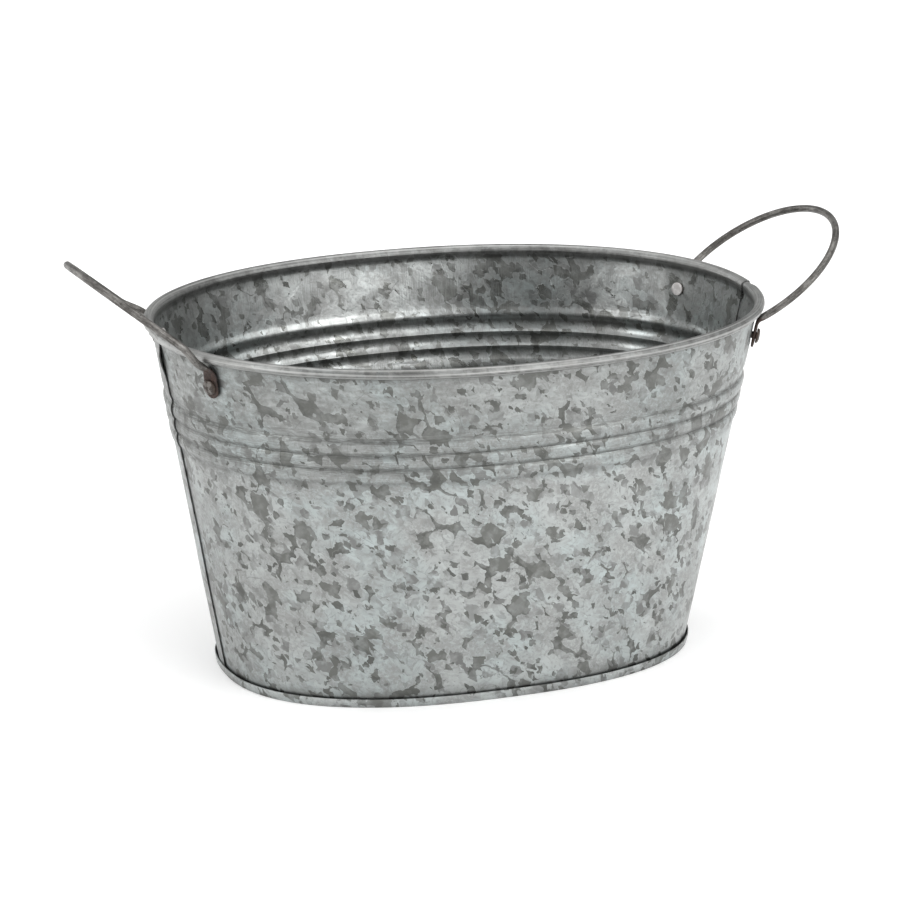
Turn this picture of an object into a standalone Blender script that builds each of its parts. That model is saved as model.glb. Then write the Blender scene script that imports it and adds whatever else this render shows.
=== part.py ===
"""Oval galvanised tub with a rolled rim and two riveted wire handles.

Metres, +Z up. The long axis of the oval runs along X and the tub stands on z = 0.
Two identical sheet panels, each one half of the wall, lap each other at the two ends
of the oval: one edge of a panel lies inside the tub and the other edge lies outside it.
"""

import math

import bmesh
import bpy
from mathutils import Matrix, Vector

# The oval wall. The wall line is the outer face of the sheet.
RIM_HALF_LENGTH = 0.1750
RIM_HALF_WIDTH = 0.1225
RIM_SQUARENESS = 2.14
FOOT_HALF_LENGTH = 0.1375
FOOT_HALF_WIDTH = 0.0855
FOOT_SQUARENESS = 2.38
SHEET = 0.0005
GAP = 0.0003
WALL_FOOT = 0.0008
WALL_TOP = 0.1980

# The rolled rim and the wire inside it.
ROLL_HEIGHT = 0.2030
ROLL_RADIUS = 0.0024
ROLL_OUTSET = 0.0010
ROLL_START = math.radians(205)
ROLL_END = math.radians(-85)
ROLL_STEPS = 9
RIM_WIRE_RADIUS = 0.0008

# Three raised beads below the rim, and the shallow dip above them.
BEAD_COUNT = 3
BEAD_TOP = 0.1588
BEAD_PITCH = 0.0085
BEAD_HEIGHT = 0.00075
BEAD_SHOULDER = 0.22
DIP_HEIGHT = 0.1660
DIP_DEPTH = 0.0004
DIP_END = 0.1695

# The lap seams, as angles round the oval past its two ends.
LAP_INSIDE = 0.033
LAP_OUTSIDE = 0.012
LAP_STEP = SHEET + GAP
JOGGLE_START = 0.130
JOGGLE_END = 0.048
PANEL_STEPS = 26

# The base pan: a raised plate, a channel that the wall stands in, and the outer lip.
PLATE_HEIGHT = 0.00325
CHANNEL_HEIGHT = SHEET / 2
CHANNEL_INNER = -0.00125
CHANNEL_OUTER = 0.00145
LIP_HEIGHT = 0.0052
PAN_SIDES = 64

# The ears: where the rivets go through the wall.
EAR_HEIGHT = 0.1873
EAR_X = 0.1587
RIVET_RADIUS = 0.0020
RIVET_HOLE_RADIUS = 0.0023
RIVET_STEPS = 16
INNER_HEAD_RADIUS = 0.0039
INNER_HEAD_THICKNESS = 0.0012
OUTER_HEAD_RADIUS = 0.0042
OUTER_HEAD_THICKNESS = 0.0020

# The wire handles. Each wire's ends are flattened into paddles.
WIRE_RADIUS = 0.0021
PADDLE_GAP = 0.0009
PADDLE_HALF_THICKNESS = 0.0009
PADDLE_HALF_WIDTH = 0.0047
PADDLE_BELOW = 0.0070
PADDLE_ABOVE = 0.0050
LOOP_HALF_WIDTH = 0.0566
LOOP_CENTRE = 0.0275
LOOP_PIVOT_X = 0.1587
LOOP_PIVOT_HEIGHT = 0.1930
LOOP_JOIN = 0.0112
LOOP_STEPS = 18
BEND_STEPS = 7
BEND_PULL = 0.0050
WIRE_SIDES = 8

# Each loop's reach out of its ears, its angle above level, and its twist about its own middle line.
RIGHT_LOOP = (0.0832, math.radians(35.1), 0.0)
LEFT_LOOP = (0.0812, math.radians(38.8), math.radians(-2.75))

# The twist grows along the wire from its bend at the ear, and is full this far out.
TWIST_FULL = 0.0270

GALVANISED = ((0.42, 0.44, 0.44), 0.42, 0.9)
GALVANISED_BASE = ((0.46, 0.47, 0.47), 0.45, 0.9)
DARK_WIRE = ((0.16, 0.145, 0.13), 0.5, 0.8)
RIVET_STEEL = ((0.50, 0.47, 0.45), 0.4, 0.85)


def mix(a, b, t):
    return a + (b - a) * t


def smooth(t):
    t = min(max(t, 0.0), 1.0)
    return t * t * (3 - 2 * t)


def oval(angle, height, offset):
    """A point of the tapered oval wall at a height, moved out from the wall line by offset."""
    t = height / ROLL_HEIGHT
    half_length = mix(FOOT_HALF_LENGTH, RIM_HALF_LENGTH, t) + offset
    half_width = mix(FOOT_HALF_WIDTH, RIM_HALF_WIDTH, t) + offset
    power = 2 / mix(FOOT_SQUARENESS, RIM_SQUARENESS, t)
    c, s = math.cos(angle), math.sin(angle)
    x = math.copysign(abs(c) ** power, c) * half_length
    y = math.copysign(abs(s) ** power, s) * half_width
    return Vector((x, y, height))


def material(name, finish):
    colour, roughness, metallic = finish
    made = bpy.data.materials.new(name)
    made.use_nodes = True
    shader = made.node_tree.nodes["Principled BSDF"]
    shader.inputs["Base Color"].default_value = (*colour, 1)
    shader.inputs["Roughness"].default_value = roughness
    shader.inputs["Metallic"].default_value = metallic
    made.diffuse_color = (*colour, 1)
    return made


def mesh_object(name, bm, collection, finish=None):
    mesh = bpy.data.meshes.new(name)
    bm.to_mesh(mesh)
    bm.free()
    made = bpy.data.objects.new(name, mesh)
    collection.objects.link(made)
    if finish:
        mesh.materials.append(material(name, finish))
    return made


def shade(obj):
    obj.data.shade_smooth()
    obj.data.set_sharp_from_angle(angle=math.radians(35))


def cut(obj, cutter):
    hole = obj.modifiers.new("hole", "BOOLEAN")
    hole.operation = "DIFFERENCE"
    hole.object = cutter


def ear(side_x, side_y):
    """The frame of one ear on the wall's outer face: its columns are sideways, up the wall and outward."""
    angle = math.pi / 4
    for _ in range(40):
        angle -= (EAR_X - oval(angle, EAR_HEIGHT, 0).x) / RIM_HALF_LENGTH
    step = 0.001
    centre = oval(angle, EAR_HEIGHT, 0)
    sideways = (oval(angle + step, EAR_HEIGHT, 0) - centre).normalized()
    up = (oval(angle, EAR_HEIGHT + step, 0) - centre).normalized()
    outward = sideways.cross(up).normalized()
    up = outward.cross(sideways)
    flip = Vector((side_x, side_y, 1))
    centre, up, outward = centre * flip, up * flip, outward * flip
    frame = Matrix((up.cross(outward), up, outward)).transposed().to_4x4()
    frame.translation = centre
    return frame


# ---- wall panels -------------------------------------------------------------------------


def panel_angles():
    """The angles of a panel's columns, from its inner-lap edge to its outer-lap edge."""
    first, last = LAP_OUTSIDE, math.pi - JOGGLE_START
    inner = [mix(first, last, i / PANEL_STEPS) for i in range(PANEL_STEPS + 1)]
    ends = [math.pi - JOGGLE_END, math.pi - LAP_INSIDE, math.pi + LAP_OUTSIDE]
    return [-LAP_INSIDE] + inner + ends


def panel_profile(lap):
    """Points (offset, height) up the sheet's outer face. At lap 1 the sheet lies outside its neighbour."""
    step = lap * LAP_STEP
    points = [(step, WALL_FOOT)]
    bead_bottom = BEAD_TOP - (BEAD_COUNT - 0.5) * BEAD_PITCH
    points += [(step, bead_bottom * share) for share in (0.3, 0.6, 0.9)]
    for bead in reversed(range(BEAD_COUNT)):
        crest = BEAD_TOP - bead * BEAD_PITCH
        points.append((step, crest - BEAD_PITCH / 2))
        points.append((step + BEAD_HEIGHT, crest - BEAD_SHOULDER * BEAD_PITCH))
        points.append((step + BEAD_HEIGHT, crest + BEAD_SHOULDER * BEAD_PITCH))
    points.append((step, BEAD_TOP + BEAD_PITCH / 2))
    points.append((step - DIP_DEPTH, DIP_HEIGHT))
    points.append((step, DIP_END))
    points.append((step, WALL_TOP))
    radius = ROLL_RADIUS - step
    for i in range(ROLL_STEPS + 1):
        turn = mix(ROLL_START, ROLL_END, i / ROLL_STEPS)
        points.append((ROLL_OUTSET + radius * math.cos(turn), ROLL_HEIGHT + radius * math.sin(turn)))
    return points


def wall_panel(name, half_turn, cutters, collection):
    """Half of the wall with its beads and its share of the rolled rim."""
    angles = panel_angles()
    rows = len(panel_profile(0))
    bm = bmesh.new()
    bmesh.ops.create_grid(bm, x_segments=len(angles) - 1, y_segments=rows - 1, size=1)
    for vert in bm.verts:
        column = round((vert.co.x + 1) / 2 * (len(angles) - 1))
        row = round((vert.co.y + 1) / 2 * (rows - 1))
        angle = angles[column]
        joggle = (angle - (math.pi - JOGGLE_START)) / (JOGGLE_START - JOGGLE_END)
        offset, height = panel_profile(smooth(joggle))[row]
        vert.co = oval(angle + half_turn, height, offset)
    made = mesh_object(name, bm, collection, GALVANISED)
    solid = made.modifiers.new("sheet", "SOLIDIFY")
    solid.thickness = SHEET
    solid.offset = -1
    solid.use_even_offset = True
    for cutter in cutters:
        cut(made, cutter)
    shade(made)
    return made


# ---- base pan and rim wire ---------------------------------------------------------------


def base_pan(collection):
    """A plate whose edge is folded down and up again into a channel round the foot of the wall."""
    profile = [
        (CHANNEL_INNER, PLATE_HEIGHT),
        (CHANNEL_INNER, CHANNEL_HEIGHT),
        (CHANNEL_OUTER, CHANNEL_HEIGHT),
        (CHANNEL_OUTER, LIP_HEIGHT),
    ]
    bm = bmesh.new()
    bmesh.ops.create_circle(bm, cap_ends=True, segments=PAN_SIDES, radius=1)
    edge = list(bm.edges)
    for ring in range(1, len(profile)):
        grown = bmesh.ops.extrude_edge_only(bm, edges=edge)["geom"]
        edge = [g for g in grown if isinstance(g, bmesh.types.BMEdge)]
        for vert in (g for g in grown if isinstance(g, bmesh.types.BMVert)):
            vert.co.z = ring
    for vert in bm.verts:
        offset, height = profile[round(vert.co.z)]
        vert.co = oval(math.atan2(vert.co.y, vert.co.x), height, offset)
    bmesh.ops.recalc_face_normals(bm, faces=bm.faces)
    made = mesh_object("base_pan", bm, collection, GALVANISED_BASE)
    solid = made.modifiers.new("sheet", "SOLIDIFY")
    solid.thickness = SHEET
    solid.offset = 0
    solid.use_even_offset = True
    shade(made)
    return made


def rim_wire(collection):
    """The stiffening wire that the rim is rolled round."""
    half = [a for a in panel_angles() if -LAP_INSIDE < a <= math.pi - LAP_INSIDE]
    angles = half + [a + math.pi for a in half]
    curve = bpy.data.curves.new("rim_wire", "CURVE")
    curve.dimensions = "3D"
    curve.bevel_depth = RIM_WIRE_RADIUS
    curve.bevel_resolution = 2
    spline = curve.splines.new("POLY")
    spline.points.add(len(angles) - 1)
    for point, angle in zip(spline.points, angles):
        point.co = (*oval(angle, ROLL_HEIGHT, ROLL_OUTSET), 1)
    spline.use_cyclic_u = True
    made = bpy.data.objects.new("rim_wire", curve)
    collection.objects.link(made)
    curve.materials.append(material("rim_wire", DARK_WIRE))
    return made


# ---- rivets ------------------------------------------------------------------------------


def hole_cutter(name, frame, collection):
    """The round hole through the wall and the paddle at one ear."""
    bm = bmesh.new()
    bmesh.ops.create_cone(bm, cap_ends=True, segments=RIVET_STEPS, radius1=RIVET_HOLE_RADIUS,
                          radius2=RIVET_HOLE_RADIUS, depth=0.012)
    made = mesh_object(name, bm, collection)
    made.matrix_world = frame
    made.hide_render = True
    made.display_type = "WIRE"
    return made


def rivet(name, frame, collection):
    """A rivet with a flat head inside the tub and a domed head outside the paddle."""
    under_inner = -SHEET - GAP
    under_outer = PADDLE_GAP + 2 * PADDLE_HALF_THICKNESS + GAP
    crown = under_outer + OUTER_HEAD_THICKNESS
    shoulder = under_outer + OUTER_HEAD_THICKNESS * 0.35
    profile = [(0, crown)]
    for i in range(1, 4):
        turn = i / 3 * math.pi / 2
        profile.append((OUTER_HEAD_RADIUS * math.sin(turn), mix(shoulder, crown, math.cos(turn))))
    profile += [
        (OUTER_HEAD_RADIUS, under_outer),
        (RIVET_RADIUS, under_outer),
        (RIVET_RADIUS, under_inner),
        (INNER_HEAD_RADIUS, under_inner),
        (INNER_HEAD_RADIUS, under_inner - INNER_HEAD_THICKNESS * 0.6),
        (INNER_HEAD_RADIUS * 0.85, under_inner - INNER_HEAD_THICKNESS),
        (0, under_inner - INNER_HEAD_THICKNESS),
    ]
    bm = bmesh.new()
    verts = [bm.verts.new((radius, 0, height)) for radius, height in profile]
    for a, b in zip(verts, verts[1:]):
        bm.edges.new((a, b))
    made = mesh_object(name, bm, collection, RIVET_STEEL)
    made.matrix_world = frame
    turned = made.modifiers.new("turned", "SCREW")
    turned.steps = turned.render_steps = RIVET_STEPS
    turned.use_merge_vertices = True
    turned.merge_threshold = 0.0001
    return made


# ---- handles -----------------------------------------------------------------------------


def bezier(a, b, c, d, t):
    return a * (1 - t) ** 3 + b * 3 * t * (1 - t) ** 2 + c * 3 * t * t * (1 - t) + d * t ** 3


def loop_path(side, loop):
    """The loop's own function (turn, flank) -> point, and the axis across the loop's plane."""
    reach, tilt, twist = loop
    along = Vector((side * math.cos(tilt), 0, math.sin(tilt)))
    across = Vector((side * math.sin(tilt), 0, -math.cos(tilt)))
    pivot = Vector((side * LOOP_PIVOT_X, 0, LOOP_PIVOT_HEIGHT))

    def path(turn, flank):
        out = LOOP_CENTRE + (reach - LOOP_CENTRE) * math.sin(turn)
        sideways = flank * LOOP_HALF_WIDTH * math.cos(turn)
        lift = sideways * math.tan(twist) * smooth((out - LOOP_JOIN) / (TWIST_FULL - LOOP_JOIN))
        return pivot + along * out - across * lift + Vector((0, sideways, 0))

    return path, across


def half_handle(side, flank, loop):
    """Stations (centre, thickness axis, half width, half thickness) from a paddle's tip to the loop's middle."""
    frame = ear(side, flank)
    outward, up = frame.col[2].xyz, frame.col[1].xyz
    centre = frame.translation + outward * (PADDLE_GAP + PADDLE_HALF_THICKNESS)
    stations = []
    for share in (0.04, 0.14, 0.32, 0.60, 1.0):
        drop = PADDLE_HALF_WIDTH * share
        width = PADDLE_HALF_WIDTH * math.sqrt(1 - (1 - share) ** 2)
        stations.append((centre - up * (PADDLE_BELOW - drop), outward, width, PADDLE_HALF_THICKNESS))
    top = centre + up * PADDLE_ABOVE
    stations.append((centre, outward, PADDLE_HALF_WIDTH, PADDLE_HALF_THICKNESS))
    path, across = loop_path(side, loop)
    first = math.asin((LOOP_JOIN - LOOP_CENTRE) / (loop[0] - LOOP_CENTRE))
    start = path(first, flank)
    heading = (path(first + 0.01, flank) - start).normalized()
    for i in range(BEND_STEPS):
        t = i / BEND_STEPS
        place = bezier(top, top + up * BEND_PULL, start - heading * BEND_PULL, start, t)
        blend = smooth(t)
        axis = outward.lerp(across, blend)
        half_width = mix(PADDLE_HALF_WIDTH, WIRE_RADIUS, blend)
        stations.append((place, axis, half_width, mix(PADDLE_HALF_THICKNESS, WIRE_RADIUS, blend)))
    for i in range(LOOP_STEPS + 1):
        place = path(mix(first, math.pi / 2, i / LOOP_STEPS), flank)
        stations.append((place, across, WIRE_RADIUS, WIRE_RADIUS))
    return stations


def handle(name, side, loop, cutters, collection):
    """A wire loop that runs from one flattened, pierced end round to the other."""
    stations = half_handle(side, 1, loop) + half_handle(side, -1, loop)[-2::-1]
    bm = bmesh.new()
    rings = []
    for i, (place, axis, half_width, half_thickness) in enumerate(stations):
        before = stations[max(i - 1, 0)][0]
        after = stations[min(i + 1, len(stations) - 1)][0]
        heading = (after - before).normalized()
        thick = (axis - heading * axis.dot(heading)).normalized()
        wide = heading.cross(thick)
        ring = []
        for corner in range(WIRE_SIDES):
            turn = (corner + 0.5) * 2 * math.pi / WIRE_SIDES
            ring.append(bm.verts.new(place + wide * half_width * math.cos(turn)
                                     + thick * half_thickness * math.sin(turn)))
        rings.append(ring)
    for near, far in zip(rings, rings[1:]):
        for i in range(WIRE_SIDES):
            j = (i + 1) % WIRE_SIDES
            bm.faces.new((near[i], near[j], far[j], far[i]))
    bm.faces.new(list(reversed(rings[0])))
    bm.faces.new(rings[-1])
    bmesh.ops.recalc_face_normals(bm, faces=bm.faces)
    made = mesh_object(name, bm, collection, DARK_WIRE)
    for cutter in cutters:
        cut(made, cutter)
    shade(made)
    return made


def new_collection(name):
    made = bpy.data.collections.new(name)
    bpy.context.scene.collection.children.link(made)
    return made


def main():
    for obj in list(bpy.data.objects):
        bpy.data.objects.remove(obj)
    parts = new_collection("oval_tub")
    guides = new_collection("cutters")
    ears = {
        "left_front": (-1, -1),
        "left_rear": (-1, 1),
        "right_front": (1, -1),
        "right_rear": (1, 1),
    }
    frames = {place: ear(*sides) for place, sides in ears.items()}
    holes = {place: hole_cutter("hole_" + place, frame, guides) for place, frame in frames.items()}
    wall_panel("wall_panel_rear", 0, [holes["left_rear"], holes["right_rear"]], parts)
    wall_panel("wall_panel_front", math.pi, [holes["left_front"], holes["right_front"]], parts)
    base_pan(parts)
    rim_wire(parts)
    handle("handle_left", -1, LEFT_LOOP, [holes["left_front"], holes["left_rear"]], parts)
    handle("handle_right", 1, RIGHT_LOOP, [holes["right_front"], holes["right_rear"]], parts)
    for place, frame in frames.items():
        rivet("rivet_" + place, frame, parts)


main()
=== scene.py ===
import math
from contextlib import contextmanager

import bmesh
import bpy
from bpy.props import FloatProperty, FloatVectorProperty, PointerProperty
from mathutils import Matrix, Vector, noise


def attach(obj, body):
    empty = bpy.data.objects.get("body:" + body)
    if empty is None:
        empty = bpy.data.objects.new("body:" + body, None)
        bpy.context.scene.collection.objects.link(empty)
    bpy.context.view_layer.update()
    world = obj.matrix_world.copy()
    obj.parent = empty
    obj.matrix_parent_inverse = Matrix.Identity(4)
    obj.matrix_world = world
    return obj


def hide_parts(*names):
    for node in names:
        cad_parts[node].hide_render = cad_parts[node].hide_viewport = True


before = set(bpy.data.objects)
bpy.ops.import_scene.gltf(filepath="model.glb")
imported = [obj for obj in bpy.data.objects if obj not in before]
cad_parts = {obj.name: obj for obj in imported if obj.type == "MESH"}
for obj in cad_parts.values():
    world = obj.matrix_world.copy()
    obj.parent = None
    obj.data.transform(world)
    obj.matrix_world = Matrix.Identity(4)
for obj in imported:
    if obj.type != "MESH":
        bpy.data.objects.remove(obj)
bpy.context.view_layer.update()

bl_info = {
    "name": "Oval Galvanised Tub",
    "version": (1, 0, 0),
    "blender": (4, 5, 0),
    "location": "View3D > Sidebar > Oval Tub",
    "description": "Builds an oval tub of galvanised sheet with a rolled rim and two riveted wire handles",
    "category": "Add Mesh",
}

# ---- sizes in metres, angles and colours -------------------------------------------------

RIM_HALF_LENGTH = 0.1750
RIM_HALF_WIDTH = 0.1225
RIM_SQUARENESS = 2.14
FOOT_HALF_LENGTH = 0.1375
FOOT_HALF_WIDTH = 0.0855
FOOT_SQUARENESS = 2.38
SHEET = 0.0005
GAP = 0.0003
WALL_FOOT = 0.0008
WALL_TOP = 0.1975

ROLL_HEIGHT = 0.2030
ROLL_RADIUS = 0.0024
ROLL_OUTSET = 0.0010
ROLL_START = math.radians(205)
ROLL_CLOSED = math.radians(-111)
ROLL_OPEN = math.radians(-86)
RIM_WIRE_RADIUS = 0.0008

# Painted highlight lines along the roll, as angles round it.
ROLL_HIGHLIGHT_LINES = (math.radians(124), math.radians(66), math.radians(6), math.radians(-38))
ROLL_HIGHLIGHT_WIDTH = math.radians(10)

BEAD_COUNT = 3
BEAD_TOP = 0.1588
BEAD_PITCH = 0.0085
BEAD_FILL = 0.94
BEAD_FLATNESS = 2.1
BEAD_FULLNESS = 0.75
DIP_HEIGHT = 0.1655
DIP_HALF_HEIGHT = 0.0040
DIP_DEPTH = 0.0007
# Half width of the painted shade in the bead grooves.
GROOVE_REACH = 0.0021

# Waves in the sheet, as noise cells to the metre, and the pucker that each rivet pulls into it.
SLOW_WAVES = 17
QUICK_WAVES = 43
PUCKER_RADIUS = 0.008
PUCKER_DEPTH = 0.00022

LAP_INSIDE = 0.033
LAP_OUTSIDE = 0.012
LAP_STEP = SHEET + GAP
JOGGLE_START = 0.130
JOGGLE_END = 0.048
EDGE_BAND = 0.005

# Just under the roll, the outer edge of each lap stands off its neighbour.
LAP_LIFT = 0.0017
LAP_LIFT_ANGLE = math.pi - 0.030
LAP_LIFT_START = 0.174
LAP_LIFT_END = 0.1985

PLATE_HEIGHT = 0.00325
PLATE_BORDER = 0.0100
PLATE_STEP_WIDTH = 0.0022
PLATE_STEP_DEPTH = 0.0007
PLATE_INNER_BORDER = 0.0250
CHANNEL_HEIGHT = SHEET / 2
CHANNEL_INNER = -0.00125
CHANNEL_OUTER = 0.00145
LIP_HEIGHT = 0.0052
FOLD_WIDTH = 0.00035

EAR_HEIGHT = 0.1873
EAR_X = 0.1587
RIVET_RADIUS = 0.0020
INNER_HEAD_RADIUS = 0.0039
INNER_HEAD_THICKNESS = 0.0012
OUTER_HEAD_RADIUS = 0.0042
OUTER_HEAD_THICKNESS = 0.0020
HAMMER_MARKS = 420
HAMMER_DEPTH = 0.00012

PADDLE_GAP = 0.0009
PADDLE_HALF_THICKNESS = 0.0009
PADDLE_HALF_WIDTH = 0.0047
PADDLE_BELOW = 0.0070
PADDLE_ABOVE = 0.0050
PADDLE_SQUARENESS = 2.8
TIP_THINNESS = 0.55
LOOP_CENTRE = 0.0275
LOOP_PIVOT_X = 0.1587
LOOP_PIVOT_HEIGHT = 0.1930
LOOP_JOIN = 0.0112
BEND_PULL = 0.0050
TWIST_FULL = 0.0270

# How finely each piece is drawn.
PANEL_COLUMNS = 250
FLAT_ROWS = 34
BEAD_ROWS = 14
DIP_ROWS = 8
BROW_ROWS = 9
NECK_ROWS = 5
ROLL_ROWS = 46
PAN_SIDES = 240
WIRE_SIDES = 18
TIP_STEPS = 8
TIP_START = 0.16
BEND_STEPS = 22
LOOP_STEPS = 60
RIVET_SIDES = 40

# The camera's aim, its turn to the right of straight ahead, its slope and its lean.
CAMERA_AIM = (-0.0036, 0, 0.1192)
CAMERA_YAW = math.radians(20.43)
CAMERA_PITCH = math.radians(-17.86)
CAMERA_ROLL = math.radians(0.637)

# Colours that no setting changes: the roll's tint, soot specks, the rivets' steel, and the stain and
# painted shade round the rivet heads.
ROLL_TINT = (0.98, 0.985, 0.96)
SPECK_COLOUR = (0.012, 0.012, 0.011)
RIVET_FRESH = ((0.52, 0.50, 0.49), (0.72, 0.70, 0.685))
RIVET_DULL = ((0.050, 0.043, 0.038), (0.16, 0.15, 0.14))
RIVET_STAIN_AND_SHADE = (0.075, 0.055, 0.045)

SIDES = {
    "left_front": (-1, -1),
    "left_rear": (-1, 1),
    "right_front": (1, -1),
    "right_rear": (1, 1),
}


# ---- settings ----------------------------------------------------------------------------


class SheetSettings(bpy.types.PropertyGroup):
    bead_height: FloatProperty(
        name="Bead Height", description="How far each raised bead stands out of the wall",
        default=0.0010, min=0, max=0.002, unit="LENGTH", precision=5)
    unevenness: FloatProperty(
        name="Unevenness", description="Depth of the slow waves in the sheet",
        default=0.00035, min=0, max=0.002, unit="LENGTH", precision=5)
    bright: FloatVectorProperty(
        name="Bright Zinc", description="Colour of the clean zinc between the flakes",
        default=(0.462, 0.486, 0.480), subtype="COLOR", min=0, max=1)
    haze: FloatVectorProperty(
        name="Haze", description="Colour of the frosted zinc",
        default=(0.300, 0.304, 0.297), subtype="COLOR", min=0, max=1)
    flake: FloatVectorProperty(
        name="Dark Flakes", description="Colour of the dark crystals",
        default=(0.094, 0.096, 0.090), subtype="COLOR", min=0, max=1)
    flake_size: FloatProperty(
        name="Flake Size", description="Spacing of the zinc crystals in millimetres",
        default=8.6, min=2, max=40)


class WireSettings(bpy.types.PropertyGroup):
    wire_radius: FloatProperty(
        name="Wire Radius", description="Half of the handle wire's thickness",
        default=0.0021, min=0.0005, max=0.005, unit="LENGTH", precision=5)
    loop_half_width: FloatProperty(
        name="Loop Half Width", description="Half of the loop's width between its two sides",
        default=0.0566, min=0.02, max=0.1, unit="LENGTH", precision=4)
    right_reach: FloatProperty(
        name="Right Reach", description="How far the right loop reaches out of its ears",
        default=0.0832, min=0.03, max=0.15, unit="LENGTH", precision=4)
    left_reach: FloatProperty(
        name="Left Reach", description="How far the left loop reaches out of its ears",
        default=0.0812, min=0.03, max=0.15, unit="LENGTH", precision=4)
    right_tilt: FloatProperty(
        name="Right Tilt", description="Angle of the right loop above level",
        default=math.radians(35.1), subtype="ANGLE")
    left_tilt: FloatProperty(
        name="Left Tilt", description="Angle of the left loop above level",
        default=math.radians(38.8), subtype="ANGLE")
    left_twist: FloatProperty(
        name="Left Twist", description="Twist of the left loop about its own middle line",
        default=math.radians(-2.75), subtype="ANGLE")
    dark: FloatVectorProperty(
        name="Oxide", description="Colour of the blackened wire",
        default=(0.072, 0.068, 0.063), subtype="COLOR", min=0, max=1)
    worn: FloatVectorProperty(
        name="Worn Steel", description="Colour where hands have rubbed the wire",
        default=(0.215, 0.208, 0.197), subtype="COLOR", min=0, max=1)
    rust: FloatVectorProperty(
        name="Rust", description="Colour of the rust on the flattened ends",
        default=(0.036, 0.0135, 0.007), subtype="COLOR", min=0, max=1)


class StudioSettings(bpy.types.PropertyGroup):
    floor: FloatVectorProperty(
        name="Floor", description="Colour of the floor",
        default=(0.86, 0.86, 0.86), subtype="COLOR", min=0, max=1)
    room: FloatProperty(
        name="Room Light", description="Strength of the light from all around",
        default=0.46, min=0, max=5)
    table: FloatProperty(
        name="Light Table", description="Glow of the floor, which keeps shadows on it pale",
        default=0.20, min=0, max=5)
    key: FloatProperty(
        name="Overhead Light", description="Strength of the broad light overhead",
        default=1.9, min=0, max=20)
    cards: FloatProperty(
        name="Light Cards", description="Strength of the low cards that shine into the tub",
        default=0.95, min=0, max=5)
    lens: FloatProperty(
        name="Lens", description="Focal length of the camera in millimetres",
        default=143.6, min=20, max=400)
    distance: FloatProperty(
        name="Camera Distance", description="From the camera to the point it looks at",
        default=2.0476, min=0.3, max=10, unit="LENGTH", precision=4)


# ---- small tools -------------------------------------------------------------------------


def mix(a, b, t):
    return a + (b - a) * t


def smooth(t):
    t = min(max(t, 0.0), 1.0)
    return t * t * (3 - 2 * t)


def scaled(colour, factor):
    return tuple(c * factor for c in colour)


def squared_turn(turn, power):
    """A point of the unit circle at an angle, pushed towards a square as power falls below 1."""
    c, s = math.cos(turn), math.sin(turn)
    return math.copysign(abs(c) ** power, c), math.copysign(abs(s) ** power, s)


def oval_sizes(height, offset):
    """Half length, half width and power of the tapered oval at a height."""
    t = height / ROLL_HEIGHT
    half_length = mix(FOOT_HALF_LENGTH, RIM_HALF_LENGTH, t) + offset
    half_width = mix(FOOT_HALF_WIDTH, RIM_HALF_WIDTH, t) + offset
    return half_length, half_width, 2 / mix(FOOT_SQUARENESS, RIM_SQUARENESS, t)


def oval(angle, height, offset):
    """A point of the tapered wall, moved out of the sheet's outer face by offset."""
    half_length, half_width, power = oval_sizes(height, offset)
    x, y = squared_turn(angle, power)
    return Vector((x * half_length, y * half_width, height))


def ear(side_x, side_y):
    """The frame of one ear on the wall's outer face: columns sideways, up the wall and outward."""
    angle = math.pi / 4
    for _ in range(40):
        angle -= (EAR_X - oval(angle, EAR_HEIGHT, 0).x) / RIM_HALF_LENGTH
    step = 0.001
    centre = oval(angle, EAR_HEIGHT, 0)
    sideways = (oval(angle + step, EAR_HEIGHT, 0) - centre).normalized()
    up = (oval(angle, EAR_HEIGHT + step, 0) - centre).normalized()
    outward = sideways.cross(up).normalized()
    up = outward.cross(sideways)
    flip = Vector((side_x, side_y, 1))
    centre, up, outward = centre * flip, up * flip, outward * flip
    placed = Matrix((up.cross(outward), up, outward)).transposed().to_4x4()
    placed.translation = centre
    return placed


def clear_selection():
    if bpy.context.mode != "OBJECT":
        bpy.ops.object.mode_set(mode="OBJECT")
    bpy.ops.object.select_all(action="DESELECT")


def pick(obj):
    """Leaves one object selected and active."""
    clear_selection()
    obj.select_set(True)
    bpy.context.view_layer.objects.active = obj


def named(name):
    """Names the object that an operator has just added."""
    made = bpy.context.object
    made.name = made.data.name = name
    return made


@contextmanager
def editing(obj):
    """Edit mode on one object, starting with nothing selected."""
    pick(obj)
    bpy.ops.object.mode_set(mode="EDIT")
    bpy.ops.mesh.select_mode(type="VERT")
    bpy.ops.mesh.select_all(action="DESELECT")
    yield
    bpy.ops.object.mode_set(mode="OBJECT")


def move_selected(obj, place):
    """Puts each selected vertex where place says, given where it is."""
    mesh = bmesh.from_edit_mesh(obj.data)
    for vert in mesh.verts:
        if vert.select:
            vert.co = place(vert.co)
    bmesh.update_edit_mesh(obj.data)


def apply_modifier(obj, kind, **settings):
    pick(obj)
    bpy.ops.object.modifier_add(type=kind)
    modifier = obj.modifiers[-1]
    for name, value in settings.items():
        setattr(modifier, name, value)
    bpy.ops.object.modifier_apply(modifier=modifier.name)


def shade(obj, angle):
    pick(obj)
    bpy.ops.object.shade_smooth_by_angle(angle=math.radians(angle))


def wrapped_grid(name, columns, rows, place):
    """A flat grid whose vertices are carried to place(column, row)."""
    clear_selection()
    bpy.ops.mesh.primitive_grid_add(x_subdivisions=columns, y_subdivisions=rows, size=1)
    made = named(name)
    for vert in made.data.vertices:
        column = round((vert.co.x + 0.5) * columns)
        row = round((vert.co.y + 0.5) * rows)
        vert.co = place(column, row)
    return made


def paint_points(obj, name, values):
    """Stores one number for each vertex as an attribute that materials can read."""
    attribute = obj.data.attributes.get(name) or obj.data.attributes.new(name, "FLOAT", "POINT")
    attribute.data.foreach_set("value", values)


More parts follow.
